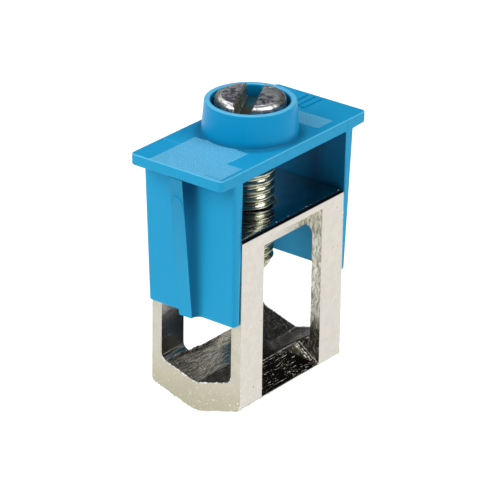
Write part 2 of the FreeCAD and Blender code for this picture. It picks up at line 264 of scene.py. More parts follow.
# Blue moulding. Each place is the middle and half size of a box in millimetres, a line also has its colour.
BLUE_TEXTURED = (0.008, 0.275, 0.50, 1)
BLUE_POLISHED = (0.008, 0.24, 0.455, 1)
SKIN = 0.06
PANELS = (
    ((-9.4, 0.02, PLATE_TOP), (4.1, 3.78, SKIN)),
    ((-11.3, -4.9, PLATE_TOP), (2.15, 1.25, SKIN)),
    ((7.1, -3.0, PLATE_TOP), (1.45, 2.45, SKIN)),
)
PANEL_LINES = (
    ((-11.1, -6.12, PLATE_TOP), (1.95, 0.04, SKIN), (0.0, 0.14, 0.30, 1)),
    ((-13.05, -4.85, PLATE_TOP), (0.04, 1.15, SKIN), (0.0, 0.14, 0.30, 1)),
    ((-7.95, 5.1, PLATE_TOP), (0.04, 1.25, SKIN), (0.06, 0.40, 0.62, 1)),
    ((-6.7, -3.78, PLATE_TOP), (1.5, 0.04, SKIN), (0.10, 0.46, 0.68, 1)),
    ((-9.75, -PLATE_Y, 31.1), (0.035, SKIN, 0.75), (0.0, 0.20, 0.38, 1)),
    ((9.9, -PLATE_Y, 31.1), (0.035, SKIN, 0.75), (0.0, 0.20, 0.38, 1)),
)
# Boxes of the painted shade inside the cover: the space between the walls, and the screw's painted shadow on
# the right wall's inner face.
CORE = ((0.0, 0.0, 20.0), (9.9, 6.47, 10.6))
SCREW_SHADOW_BOX = ((9.7, -2.2, 27.0), (0.3, 0.2, 5.0))


def colour_outside(tree, height, reach, polished):
    """Textured walls and a polished plate, with painted shade on a deeper collar and painted highlights on a
    pale rim and a pale edge round the plate.
    """
    colour = tree.mix(polished, BLUE_TEXTURED, BLUE_POLISHED)
    # Painted highlight: a pale rim on the collar's top.
    rim = tree.step(height, COLLAR_TOP - 0.13, COLLAR_TOP - 0.05)
    colour = tree.mix(rim, colour, (0.08, 0.36, 0.57, 1))
    # Painted shade: the collar darker and bluer than the walls.
    collar = tree.band(height, (PLATE_TOP + 0.1, PLATE_TOP + 0.4), (COLLAR_TOP - 0.05, COLLAR_TOP - 0.15))
    colour = tree.mix(collar, colour, (0.0, 0.245, 0.485, 1))
    # Painted highlight: a pale band along the plate's top edge.
    edge = tree.band(height, (PLATE_TOP - 0.16, PLATE_TOP - 0.08), (PLATE_TOP - 0.01, PLATE_TOP - 0.04))
    edge = tree.math("MULTIPLY", edge, tree.step(reach, COLLAR_FOOT + 0.65, COLLAR_FOOT + 0.85))
    return tree.mix(tree.math("MULTIPLY", edge, 0.6), colour, (0.16, 0.50, 0.72, 1))


def colour_inside_shade(tree, place, height):
    """Painted shade on the faces that the mould's core formed: dark under the plate, paler low down, and a
    painted shadow of the screw dimming the far corner.
    """
    # Painted shade: dark under the plate, paler low down.
    colour = tree.mix(tree.step(height, 23.5, 21.0), (0.0, 0.13, 0.28, 1), (0.035, 0.33, 0.60, 1))
    # Painted shadow of the screw on the right wall's inner face.
    middle, half = SCREW_SHADOW_BOX
    dim = tree.group(BOX, Place=place, Middle=middle, Half=half, Rim=3.0)["Mask"]
    return tree.mix(dim, colour, (0.004, 0.05, 0.12, 1))


def mask_inside(tree, place, height, reach):
    """The faces between the walls and in the collar's bore, which get painted shade."""
    middle, half = CORE
    core = tree.group(BOX, Place=place, Middle=middle, Half=half, Rim=0.1)["Mask"]
    in_bore = tree.step(reach, COLLAR_BORE + 0.15, COLLAR_BORE)
    bore = tree.math("MULTIPLY", in_bore, tree.step(height, COLLAR_TOP - 0.1, COLLAR_TOP - 0.35))
    return tree.math("MAXIMUM", core, bore)


def mask_painted_shade(tree, place, reach):
    """Painted shade on the plate round the collar's root, and on the left wall beside its rib, deeper towards
    the plate.
    """
    x, y, height = tree.parts(place)
    root = tree.math("MULTIPLY", tree.step(reach, COLLAR_FOOT + 1.25, COLLAR_FOOT + 0.05),
                     tree.step(height, PLATE_TOP + 1.1, PLATE_TOP))
    root = tree.math("MULTIPLY", root, tree.step(height, PLATE_TOP - 0.2, PLATE_TOP))
    beside = tree.band(y, (-RIB_Y - 0.95, -RIB_Y - 0.05), (-RIB_Y + 0.07, -RIB_Y + 0.02))
    beside = tree.math("MULTIPLY", beside, tree.step(x, -WALL_X - 0.6, -WALL_X - 0.85))
    beside = tree.math("MULTIPLY", beside, tree.step(height, PLATE_LOW + 0.05, PLATE_LOW - 0.1))
    deeper = tree.math("ADD", 0.65, tree.math("MULTIPLY", tree.step(height, 24.0, 29.5), 0.3))
    return tree.math("MAXIMUM", tree.math("MULTIPLY", root, 0.62), tree.math("MULTIPLY", beside, deeper))


def make_blue_moulding():
    """Blue moulding: textured walls, a polished top and collar, spark-eroded panels on the plate paler partly
    as painted sheen, with painted shade inside and in the crevices and painted highlights on the collar's rim
    and the plate's edge.
    """
    paint, tree, shader = new_paint("blue_moulding", BLUE_TEXTURED[:3], 0.36, 0.0)
    shader.inputs["Specular IOR Level"].default_value = 0.12
    place = tree.place()
    height = tree.parts(place)[2]
    reach = tree.reach(place)
    coarse = tree.group(GRAIN, Place=place, Scale=6.0, Detail=3.0, Roughness=0.7)
    fine = tree.group(GRAIN, Place=place, Scale=9.0, Detail=2.0)
    panels = 0.0
    for middle, half in PANELS:
        panel = tree.group(BOX, Place=place, Middle=middle, Half=half, Rim=0.06)["Mask"]
        panels = tree.math("MAXIMUM", panels, panel)
    polished = tree.step(height, PLATE_TOP - 0.08, PLATE_TOP)
    painted_shade = mask_painted_shade(tree, place, reach)
    # Inside the cover and in the collar's bore, the colour is painted shade.
    colour = tree.mix(
        mask_inside(tree, place, height, reach),
        colour_outside(tree, height, reach, polished),
        colour_inside_shade(tree, place, height),
    )
    # Paints the shade of the collar's root and of the rib's recess into the colour.
    colour = tree.mix(painted_shade, colour, (0.0, 0.075, 0.17, 1))
    # The spark-eroded panels: their own frosted texture, made paler partly as painted sheen of their rough
    # surface.
    frosted_and_sheen = tree.mix(coarse["Spread"], (0.04, 0.29, 0.50, 1), (0.115, 0.375, 0.575, 1))
    colour = tree.mix(panels, colour, frosted_and_sheen)
    for middle, half, shade in PANEL_LINES:
        line = tree.group(BOX, Place=place, Middle=middle, Half=half, Rim=0.05)["Mask"]
        colour = tree.mix(line, colour, shade)
    tree.feed(shader.inputs["Base Color"], colour)
    gloss = tree.math("SUBTRACT", polished, panels)
    rough = tree.math("SUBTRACT", 0.46, tree.math("MULTIPLY", gloss, 0.14))
    rough = tree.math("ADD", rough, tree.math("MULTIPLY", painted_shade, 0.4))
    tree.feed(shader.inputs["Roughness"], rough)
    texture = tree.math("ADD", fine["Height"], tree.math("MULTIPLY", coarse["Height"], panels))
    depth = tree.math("SUBTRACT", 1.2, tree.math("MULTIPLY", gloss, 0.9))
    bump(tree, shader, tree.math("MULTIPLY", texture, depth), 0.035)
    return paint


# Platings of the frame and the screw.
def make_plating(name, colour, rough, stretch, scale, depth, contrast=0.12):
    """Bright plating over a surface with drawn-out marks."""
    paint, tree, shader = new_paint(name, colour, rough, 1.0)
    place = tree.place()
    marks = tree.group(GRAIN, Place=place, Stretch=stretch, Scale=scale)
    wide = tree.group(GRAIN, Place=place, Scale=0.35, Detail=2.0)
    shade = tree.weigh((wide["Spread"], 0.5), (marks["Spread"], 0.5))
    dull = tuple(part * (1 - contrast) for part in colour)
    tree.feed(shader.inputs["Base Color"], tree.mix(shade, (*colour, 1), (*dull, 1)))
    bump(tree, shader, marks["Height"], depth)
    return paint


def make_rolled_plating():
    """Rolled side of the frame: nearly even, with fine pits, faint marks and a ripple beside the window."""
    paint, tree, shader = new_paint("plated_rolled", (0.60, 0.57, 0.515), 0.24, 1.0)
    place = tree.place()
    cloud = tree.group(GRAIN, Place=place, Scale=0.9, Detail=4.0, Roughness=0.6)
    marks = tree.group(GRAIN, Place=place, Stretch=(1.0, 1.0, 0.5), Scale=5.0)
    pits = tree.group(GRAIN, Place=place, Scale=2.6, Detail=1.0)
    ripple = tree.group(GRAIN, Place=place, Stretch=(0.35, 1.0, 3.2), Scale=0.9, Detail=1.0)
    rippled = tree.group(
        BOX, Place=place, Middle=(8.0, -FRAME_Y, 11.5), Half=(0.9, 0.4, 3.0), Rim=2.0,
    )["Mask"]
    pit = tree.step(pits["Height"], 0.76, 0.775)
    shade = tree.weigh((cloud["Spread"], 0.6), (marks["Spread"], 0.4))
    ground = tree.mix(shade, (0.615, 0.58, 0.525, 1), (0.57, 0.54, 0.485, 1))
    tree.feed(shader.inputs["Base Color"], tree.mix(pit, ground, (0.20, 0.18, 0.15, 1)))
    wave = tree.math("MULTIPLY", ripple["Height"], rippled)
    bump(tree, shader, tree.weigh((marks["Height"], 0.2), (pit, -1.5), (wave, 3.0)), 0.008)
    return paint


def make_sawn_plating():
    """Plated end face with saw grit, yellower towards the foot."""
    paint, tree, shader = new_paint("plated_sawn", (0.60, 0.57, 0.48), 0.42, 1.0)
    place = tree.place()
    low = tree.step(tree.parts(place)[2], 7.0, 0.5)
    wide = tree.group(GRAIN, Place=place, Scale=0.4, Detail=2.0)
    fine = tree.group(GRAIN, Place=place, Scale=5.0, Detail=3.0, Roughness=0.7)
    ground = tree.mix(low, (0.58, 0.56, 0.48, 1), (0.47, 0.44, 0.31, 1))
    wear_and_highlight = tree.mix(tree.math("MULTIPLY", wide["Spread"], 0.5), ground, (0.46, 0.44, 0.34, 1))
    grit = tree.mix(tree.math("MULTIPLY", fine["Spread"], 0.35), wear_and_highlight, (0.36, 0.34, 0.27, 1))
    tree.feed(shader.inputs["Base Color"], grit)
    bump(tree, shader, fine["Height"], 0.02)
    return paint


def make_chip_plating():
    """Torn grains of burr: pale, matt and a little uneven."""
    paint, tree, shader = new_paint("plated_chips", (0.97, 0.96, 0.90), 0.5, 0.1)
    grain = tree.group(GRAIN, Place=tree.place(), Scale=1.5, Detail=2.0)
    shade = tree.mix(grain["Spread"], (0.62, 0.60, 0.50, 1), (1.0, 1.0, 0.96, 1))
    tree.feed(shader.inputs["Base Color"], shade)
    bump(tree, shader, grain["Height"], 0.01)
    return paint


def make_torn_plating():
    """Plated jamb of a punched window: torn streaks that run wavy through its thickness."""
    paint, tree, shader = new_paint("plated_torn", (0.80, 0.77, 0.62), 0.42, 1.0)
    place = tree.place()
    across, _, height = tree.parts(place)
    sway = tree.add("ShaderNodeTexNoise", {"Vector": place, "Scale": 0.7, "Detail": 2.0}).outputs["Color"]
    bent = tree.vector_math("ADD", place, second=tree.vector_math("SCALE", sway, Scale=1.2)[0])[0]
    streaks = tree.group(
        GRAIN, Place=bent, Stretch=(0.7, 1.5, 0.4), Scale=2.1, Detail=5.0, Roughness=0.72,
    )
    grit = tree.group(GRAIN, Place=place, Scale=6.0, Detail=2.0)
    low = tree.step(height, 9.0, 5.5)
    light = tree.mix(low, (1.0, 0.98, 0.86, 1), (0.55, 0.53, 0.42, 1))
    dark = tree.mix(low, (0.36, 0.34, 0.25, 1), (0.05, 0.045, 0.03, 1))
    patch = tree.step(tree.math("SUBTRACT", streaks["Height"], tree.math("MULTIPLY", low, 0.12)), 0.36, 0.60)
    jamb = tree.step(tree.math("ABSOLUTE", across), 2.6, 4.4)
    colour = tree.mix(jamb, (0.66, 0.63, 0.57, 1), tree.mix(patch, dark, light))
    tree.feed(shader.inputs["Base Color"], colour)
    raised = tree.weigh((streaks["Height"], 1.0), (grit["Height"], 0.12))
    bump(tree, shader, tree.math("MULTIPLY", raised, jamb), 0.16)
    return paint


def make_gritty_plating():
    """Plated slope of the floor, scored along the tunnel and full of bright grit."""
    paint, tree, shader = new_paint("plated_gritty", (0.40, 0.39, 0.38), 0.16, 1.0)
    place = tree.place()
    scores = tree.group(
        GRAIN, Place=place, Stretch=(0.16, 2.0, 2.0), Scale=5.0, Detail=4.0, Roughness=0.7,
    )
    grit = tree.group(GRAIN, Place=place, Scale=6.5, Detail=1.0)
    speck = tree.step(grit["Height"], 0.63, 0.68)
    ground = tree.mix(scores["Spread"], (0.08, 0.08, 0.08, 1), (0.58, 0.56, 0.53, 1))
    tree.feed(shader.inputs["Base Color"], tree.mix(speck, ground, (0.9, 0.89, 0.84, 1)))
    bump(tree, shader, tree.weigh((scores["Height"], 0.32), (speck, 1.4)), 0.05)
    return paint


def make_ramp_plating():
    """Plated ramp under a window: dark scored metal with thin bright scratches and specks."""
    paint, tree, shader = new_paint("plated_ramp", (0.30, 0.28, 0.26), 0.12, 1.0)
    place = tree.place()
    scores = tree.group(
        GRAIN, Place=place, Stretch=(0.1, 1.4, 1.4), Scale=4.5, Detail=5.0, Roughness=0.75,
    )
    specks = tree.group(GRAIN, Place=place, Stretch=(0.7, 1.2, 1.2), Scale=7.0, Detail=2.0)
    stain = tree.group(GRAIN, Place=place, Scale=0.45, Detail=2.0)
    wear_and_highlight = tree.step(stain["Height"], 0.46, 0.60)
    scratch = tree.step(scores["Height"], 0.60, 0.66)
    scratch = tree.math("MULTIPLY", scratch, tree.step(specks["Height"], 0.44, 0.54))
    speck = tree.math("MULTIPLY", tree.step(specks["Height"], 0.66, 0.72), wear_and_highlight)
    bare = tree.math("MAXIMUM", scratch, speck)
    ground = tree.mix(wear_and_highlight, (0.36, 0.34, 0.32, 1), (0.60, 0.57, 0.45, 1))
    tree.feed(shader.inputs["Base Color"], tree.mix(bare, ground, (0.95, 0.94, 0.86, 1)))
    bump(tree, shader, tree.weigh((scores["Height"], 0.10), (bare, 0.9)), 0.04)
    return paint


def make_head_plating():
    """Zinc plating on the forged head: mottled grey-violet top with pale grains, lighter towards one side as
    painted highlight; a dark band on its rounded edge as painted reflection, and a pale ring round the flat as
    painted highlight.
    """
    paint, tree, shader = new_paint("zinc_head", (0.62, 0.62, 0.66), 0.30, 1.0)
    place = tree.place()
    across, _, height = tree.parts(place)
    reach = tree.reach(place)
    dents = tree.group(GRAIN, Place=place, Scale=1.05, Detail=5.0, Roughness=0.66)
    grit = tree.group(GRAIN, Place=place, Scale=2.1, Detail=3.0, Roughness=0.6)
    # Painted highlight: the top's mottling grows lighter towards +x.
    mottle_and_highlight = tree.math("ADD", dents["Height"], tree.math("MULTIPLY", across, 0.045))
    top = tree.mix(tree.step(mottle_and_highlight, 0.42, 0.58), (0.20, 0.19, 0.29, 1), (0.88, 0.92, 0.95, 1))
    top = tree.mix(tree.step(grit["Height"], 0.53, 0.63), top, (1.0, 1.0, 0.97, 1))
    side = tree.mix(dents["Spread"], (0.40, 0.40, 0.41, 1), (0.92, 0.93, 0.90, 1))
    # Painted reflection: a dark band round the head's rounded edge.
    groove = tree.band(height, (HEAD_TOP - 0.55, HEAD_TOP - 0.42), (HEAD_TOP - 0.12, HEAD_TOP - 0.26))
    side = tree.mix(tree.math("MULTIPLY", groove, 0.75), side, (0.10, 0.10, 0.11, 1))
    rim = tree.step(reach, HEAD_RIM, HEAD_RIM + 0.12)
    # Painted highlight: a pale ring round the edge of the flat.
    wear_and_highlight = tree.band(reach, (HEAD_RIM - 0.12, HEAD_RIM - 0.02), (HEAD_RIM + 0.18, HEAD_RIM + 0.08))
    colour = tree.mix(tree.math("MULTIPLY", wear_and_highlight, 0.8), tree.mix(rim, top, side), (0.97, 0.97, 0.95, 1))
    tree.feed(shader.inputs["Base Color"], colour)
    raised = tree.weigh((dents["Height"], 1.0), (grit["Height"], 0.7))
    depth = tree.math("SUBTRACT", 1.1, tree.math("MULTIPLY", rim, 0.4))
    bump(tree, shader, tree.math("MULTIPLY", raised, depth), 0.10)
    return paint


def make_slot_plating():
    """Rough sawn walls of the driver slot, dark with a green and gold tint."""
    paint, tree, shader = new_paint("zinc_slot", (0.50, 0.50, 0.36), 0.36, 1.0)
    scores = tree.group(
        GRAIN, Place=tree.place(), Stretch=(1.0, 1.0, 0.6), Scale=3.2, Detail=5.0, Roughness=0.72,
    )
    colour = tree.mix(scores["Spread"], (0.07, 0.08, 0.06, 1), (0.60, 0.62, 0.50, 1))
    tree.feed(shader.inputs["Base Color"], colour)
    bump(tree, shader, scores["Height"], 0.12)
    return paint


# Shapes.
def new_object(name, shape):
    """Makes an object of a bmesh, which it frees."""
    mesh = bpy.data.meshes.new(name)
    shape.to_mesh(mesh)
    shape.free()
    thing = bpy.data.objects.new(name, mesh)
    bpy.context.scene.collection.objects.link(thing)
    return thing


def new_piece(name, shape, body, paints, sharp=30.0):
    """Makes a piece of a bmesh, shades it smooth but for sharp edges, and sets it on its body."""
    shape.normal_update()
    piece = new_object(name, shape)
    for paint in paints:
        piece.data.materials.append(paint)
    piece.data.shade_smooth()
    piece.data.set_sharp_from_angle(angle=math.radians(sharp))
    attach(piece, body)
    return piece


def copy_solid(node):
    """A solid's mesh, with its points joined and each flat face in one piece."""
    shape = bmesh.new()
    shape.from_mesh(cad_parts[node].data)
    bmesh.ops.remove_doubles(shape, verts=shape.verts, dist=1e-6)
    bmesh.ops.dissolve_limit(shape, angle_limit=math.radians(0.5), verts=shape.verts, edges=shape.edges)
    return shape


def round_edges(shape, edges, width, steps, clamp):
    """Rounds edges over a width in millimetres."""
    bmesh.ops.bevel(
        shape, geom=edges, offset=width * MM, offset_type="OFFSET", segments=steps, profile=0.5,
        affect="EDGES", clamp_overlap=clamp,
    )
    bmesh.ops.recalc_face_normals(shape, faces=shape.faces)


# Frame.
def frame_finish(middle, normal):
    """Which finish a face of the frame has, by its middle in millimetres and its normal."""
    x, y, z = abs(middle.x), abs(middle.y), middle.z
    on_end = x > FRAME_X - 0.2 and abs(normal.x) > 0.8
    in_hole = z > CEILING - 0.1 and math.hypot(x, y) < HOLE_R + 0.35 and abs(normal.z) < 0.95
    on_roof = z > FRAME_TOP - 0.55 and normal.z > 0.1
    in_leg = WINDOW_Y - 0.02 < y < FRAME_Y - 0.05
    in_window = in_leg and x < WINDOW_X + 0.02 and RAMP_FOOT < z < WINDOW_TOP + 0.05
    in_tunnel = y < LEG_INNER + 0.05 and FLOOR - 0.45 < z < CEILING + 0.05
    if on_end or in_hole:
        return SAWN
    if on_roof:
        return BRIGHT
    if in_window:
        return RAMP if normal.z > 0.5 or z < WINDOW_FOOT else TORN
    if in_tunnel:
        return GRITTY if normal.z > 0.9 and middle.y > 0 else DRAWN
    return ROLLED


def finish_border(shape, first, second):
    """The edges between two finishes, as start and end in millimetres."""
    for edge in shape.edges:
        kinds = {face.material_index for face in edge.link_faces}
        if first in kinds and kinds & second:
            yield edge.verts[0].co / MM, edge.verts[1].co / MM


def scatter(draw):
    """A random vector, as likely to point one way as another."""
    return Vector((draw.gauss(0, 1), draw.gauss(0, 1), draw.gauss(0, 1)))


def add_chip(shape, place, size, draw):
    """Adds a chip of burr: an uneven octahedron, above the floor and clear of the cover's walls."""
    turn = Matrix.Rotation(draw.uniform(0, math.pi), 3, scatter(draw))
    corners = []
    for axis in ((1, 0, 0), (0, 1, 0), (-1, 0, 0), (0, -1, 0), (0, 0, 1), (0, 0, -1)):
        spot = place + turn @ Vector(axis) * (size * draw.uniform(0.55, 1.35))
        spot.z = max(spot.z, 0.0)
        if spot.z > WALL_FOOT_DOWN and abs(spot.x) > FRAME_X:
            spot.x = math.copysign(FRAME_X + 0.01, spot.x)
        corners.append(shape.verts.new(spot * MM))
    for index in range(4):
        other = (index + 1) % 4
        shape.faces.new([corners[index], corners[other], corners[4]])
        shape.faces.new([corners[other], corners[index], corners[5]])


def add_burr(shape, start, end, burr, draw):
    """Strews the chips of a kind of burr along a line, at uneven distances and in uneven sizes."""
    spacing, size = burr
    length = (end - start).length
    along = draw.uniform(0, spacing)
    while along < length:
        spot = start.lerp(end, along / length) + scatter(draw) * size * 0.35
        add_chip(shape, spot, size * draw.uniform(0.45, 1.25), draw)
        along += spacing * draw.uniform(0.3, 1.9)


def end_burr(height, in_mouth):
    """The kind of burr on an edge of the sawn ends: coarse low down, densest in the tunnel's mouth."""
    mouth_top, foot_top, leg_foot = 6.8, 6.5, 9.0
    if height > leg_foot:
        return LEG_BURR
    if in_mouth:
        return MOUTH_BURR if height < mouth_top else JAMB_BURR
    return SIDE_BURR if height > foot_top else FOOT_BURR


def burr_edges(burrs, shape, draw):
    """Burr of the saw round the ends, and of the punch round the windows."""
    for start, end in finish_border(shape, SAWN, {ROLLED, DRAWN, GRITTY, RAMP, TORN}):
        height = (start.z + end.z) / 2
        if height > FRAME_TOP - 1.0 or abs(start.x) < FRAME_X - 0.5:
            continue
        in_mouth = max(abs(start.y), abs(end.y)) < LEG_INNER + 0.1 and height > FLOOR - 0.25
        add_burr(burrs, start, end, end_burr(height, in_mouth), draw)
    for start, end in finish_border(shape, ROLLED, {TORN, RAMP}):
        low = (start.z + end.z) / 2 < WINDOW_FOOT - 0.1
        add_burr(burrs, start, end, LIP_BURR if low else WINDOW_BURR, draw)


def burr_creases(burrs, draw):
    """Burr along the inner crease of each sill and along the roof's long edges."""
    sill_from, sill_to, roof_end = -4.6, 4.4, 9.2
    for side in (-1, 1):
        crease = side * (WINDOW_Y - 0.05)
        start, end = Vector((sill_from, crease, SILL_TOP)), Vector((sill_to, crease, SILL_TOP))
        add_burr(burrs, start, end, CREASE_BURR, draw)
        edge = side * (FRAME_Y - 0.38)
        start, end = Vector((-roof_end, edge, FRAME_TOP)), Vector((roof_end, edge, FRAME_TOP))
        add_burr(burrs, start, end, ROOF_BURR, draw)


def burr_ends(burrs, shape, draw):
    """Loose chips on the sawn ends, most of them near the foot."""
    count, spread, far_out = 170, 1.8, 20
    half_deep = FRAME_Y - 0.2
    tree = BVHTree.FromBMesh(shape)
    for hand in (-1, 1):
        for _ in range(count):
            height = abs(draw.gauss(0, spread))
            outside = Vector((hand * far_out, draw.uniform(-half_deep, half_deep), height)) * MM
            hit = tree.ray_cast(outside, Vector((-hand, 0, 0)))[0]
            if hit is not None and abs(hit.x) > (FRAME_X - 0.005) * MM:
                add_chip(burrs, hit / MM, draw.uniform(0.04, 0.09), draw)


def burr_sills(burrs, draw):
    """Torn metal at both ends of each sill: pale ridges down the ramp, dark chips round its top corner."""
    count, ramp_fall = 60, 1.12
    for side in (-1, 1):
        for hand in (-1, 1):
            top = Vector((hand * 4.6, side * 4.2, SILL_TOP))
            foot = Vector((hand * 5.42, side * 6.35, 2.22))
            for shift in (0.0, 0.5, 0.85):
                across = Vector((hand * -shift, 0, 0))
                add_burr(burrs, top + across, foot.lerp(top, shift * 0.4) + across, MOUTH_BURR, draw)
            pale = len(burrs.faces)
            for _ in range(count):
                spot = Vector((hand * draw.uniform(3.9, 5.45), side * draw.uniform(3.9, 5.2), 0))
                spot.z = SILL_TOP + 0.04 - max(abs(spot.y) - WINDOW_Y, 0) * ramp_fall
                add_chip(burrs, spot, draw.uniform(0.06, 0.2), draw)
            burrs.faces.ensure_lookup_table()
            for face in burrs.faces[pale:]:
                face.material_index = DARK_CHIP


def make_burrs(shape, paints):
    """The ragged burr that the saw left round the ends and the punch round the windows."""
    draw = random.Random(BURR_SEED)
    burrs = bmesh.new()
    burr_edges(burrs, shape, draw)
    burr_creases(burrs, draw)
    burr_ends(burrs, shape, draw)
    burr_sills(burrs, draw)
    bmesh.ops.recalc_face_normals(burrs, faces=burrs.faces)
    new_piece("frame_burrs", burrs, "frame", paints, sharp=15.0)


def make_ring_frame(paints, burr_paints):
    """The frame with its edges broken, each face in the finish that its cut left on it, and its burr."""
    shape = copy_solid("clamp_frame")
    edges = [edge for edge in shape.edges if edge.calc_face_angle(0) > math.radians(30)]
    round_edges(shape, edges, EDGE_BREAK, 2, clamp=True)
    shape.normal_update()
    for face in shape.faces:
        face.material_index = frame_finish(face.calc_center_median() / MM, face.normal)
    make_burrs(shape, burr_paints)
    piece = new_piece("ring_frame", shape, "frame", paints, sharp=20.0)
    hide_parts("clamp_frame")


# Cover.
def on_plate_foot(edge):
    """Whether an edge is a sharp one of the plate's lower outline, outside the walls."""
    if not (edge.is_manifold and edge.is_convex and edge.calc_face_angle(0) > math.radians(60)):
        return False
    low, high = edge.verts[0].co / MM, edge.verts[1].co / MM
    level = abs(low.z - PLATE_LOW) < 0.01 and abs(high.z - PLATE_LOW) < 0.01
    outer = [abs(spot.x) > PLATE_X - 0.7 or abs(spot.y) > PLATE_Y - 0.01 for spot in (low, high)]
    return level and all(outer) and abs((low.x + high.x) / 2) > WALL_X


def make_moulded_cover(paint):
    """The blue cover with the lower outline of its plate rounded."""
    shape = copy_solid("insulating_cover")
    edges = [edge for edge in shape.edges if on_plate_foot(edge)]
    round_edges(shape, edges, PLATE_FOOT_ROUND, 4, clamp=False)
    piece = new_piece("moulded_cover", shape, "cover", [paint])
    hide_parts("insulating_cover")


def make_gate_mark(paint):
    """The faint arch that the mould's gate left on the left rib: a thin round ridge along a curved path."""
    path = [(0.87, 26.9), (0.84, 27.45), (0.62, 27.85), (0.15, 28.05), (-0.35, 27.9), (-0.68, 27.45),
            (-0.76, 26.9), (-0.76, 26.3), (-0.74, 25.9)]
    ridge_r, end_r, flat = 0.075, 0.03, 0.8
    sides = 8
    shape = bmesh.new()
    rings = []
    for index, (across, height) in enumerate(path):
        before, after = path[max(index - 1, 0)], path[min(index + 1, len(path) - 1)]
        run = Vector((0, after[0] - before[0], after[1] - before[1])).normalized()
        side = Vector((0, -run.z, run.y))
        face = -(PLATE_X - 0.05) + (PLATE_LOW - height) * RIB_LEAN
        middle = Vector((face, across, height))
        radius = ridge_r if 0 < index < len(path) - 1 else end_r
        ring = []
        for step in range(sides):
            angle = 2 * math.pi / sides * step
            spot = middle + (side * math.cos(angle) + Vector((1, 0, 0)) * math.sin(angle) * flat) * radius
            ring.append(shape.verts.new(spot * MM))
        rings.append(ring)
    join_rings(shape, rings)
    shape.faces.new(rings[0])
    shape.faces.new(rings[-1][::-1])
    bmesh.ops.recalc_face_normals(shape, faces=shape.faces)
    new_piece("gate_mark", shape, "cover", [paint], sharp=60.0)


def join_rings(shape, rings):
    """Joins each ring of points to the next with faces."""
    for lower, upper in zip(rings, rings[1:]):
        for step in range(len(lower)):
            other = (step + 1) % len(lower)
            shape.faces.new([lower[step], lower[other], upper[other], upper[step]])


# Screw and thread.
def smooth_share(value, start, end):
    """Runs smoothly from 0 to 1 while a value runs from start to end."""
    share = min(max((value - start) / (end - start), 0.0), 1.0)
    return share * share * (3 - 2 * share)


def thread_share(height, column):
    """How deep the thread's groove lies at a height and column: 0 on the crest, 1 at its root."""
    place = ((height - THREAD_START) / PITCH - column / TURN_COLUMNS) % 1.0
    away = min(place, 1 - place)
    if away < CREST_HALF:
        return 0.0
    return math.sin(math.pi / 2 * (away - CREST_HALF) / (0.5 - CREST_HALF)) ** 0.75


def thread_radius(height, column):
    """The screw's radius: its thread, within the taper of its tip and the run-out under its head."""
    radius = CREST_R - (CREST_R - ROOT_R) * thread_share(height, column)
    cone = TIP_R + (height - SCREW_TIP) * 0.5
    neck = ROOT_R + (CREST_R - ROOT_R) * (1 - smooth_share(height, SEAT - 1.2, SEAT - 0.8))
    return min(radius, cone, neck)


def helix_grid(shape, low, high, radius_at, crest=0):
    """A surface whose rows follow the thread, cut level at both ends; crest is the finish of its crests."""
    stations = len(THREAD_STATIONS)
    first = math.floor((low - THREAD_START) / PITCH) - 2
    last = math.ceil((high - THREAD_START) / PITCH) + 2
    columns = []
    for column in range(TURN_COLUMNS):
        angle = 2 * math.pi * column / TURN_COLUMNS
        row = []
        for turn in range(first, last):
            for station in THREAD_STATIONS:
                height = THREAD_START + PITCH * (turn + station + column / TURN_COLUMNS)
                height = min(max(height, low), high)
                radius = radius_at(height, column)
                spot = (radius * math.cos(angle), radius * math.sin(angle), height)
                row.append(shape.verts.new(Vector(spot) * MM))
        columns.append(row)
    for column in range(TURN_COLUMNS):
        left = columns[column]
        right = columns[(column + 1) % TURN_COLUMNS]
        shift = stations if column == TURN_COLUMNS - 1 else 0
        for row in range(len(left) - 1 - shift):
            face = shape.faces.new([left[row], right[row + shift], right[row + shift + 1], left[row + 1]])
            if row % stations in (0, stations - 1):
                face.material_index = crest
    bmesh.ops.remove_doubles(shape, verts=shape.verts, dist=1e-7)


def lathe(shape, profile):
    """Turns a profile of radius and height pairs about the screw's axis, in the thread's own columns."""
    rings = []
    for radius, height in profile:
        ring = []
        for column in range(TURN_COLUMNS):
            angle = 2 * math.pi * column / TURN_COLUMNS
            spot = (radius * math.cos(angle), radius * math.sin(angle), height)
            ring.append(shape.verts.new(Vector(spot) * MM))
        rings.append(ring)
    join_rings(shape, rings)
    return rings


def make_slot_cutter(paint):
    """The prism that cuts the driver slot, its flanks flared at the top to bevel the slot's edges."""
    shape = bmesh.new()
    profile = [
        (-0.85, -1.75), (0.85, -1.75), (1.0, -1.6), (1.0, -0.2), (1.2, 0.02), (1.4, 1.0),
        (-1.4, 1.0), (-1.2, 0.02), (-1.0, -0.2), (-1.0, -1.6),
    ]
    ends = []
    for along in (-5.0, 5.0):
        ends.append([shape.verts.new(Vector((along, across, HEAD_TOP + up)) * MM) for across, up in profile])
    join_rings(shape, ends)
    shape.faces.new(ends[0][::-1])
    shape.faces.new(ends[1])
    bmesh.ops.recalc_face_normals(shape, faces=shape.faces)
    turn = Matrix.Rotation(math.radians(SLOT_TURN), 4, "Z") @ Matrix.Translation((0, SLOT_SHIFT * MM, 0))
    bmesh.ops.transform(shape, matrix=turn, verts=shape.verts)
    cutter = new_object("slot_cutter", shape)
    cutter.data.materials.append(paint)
    return cutter


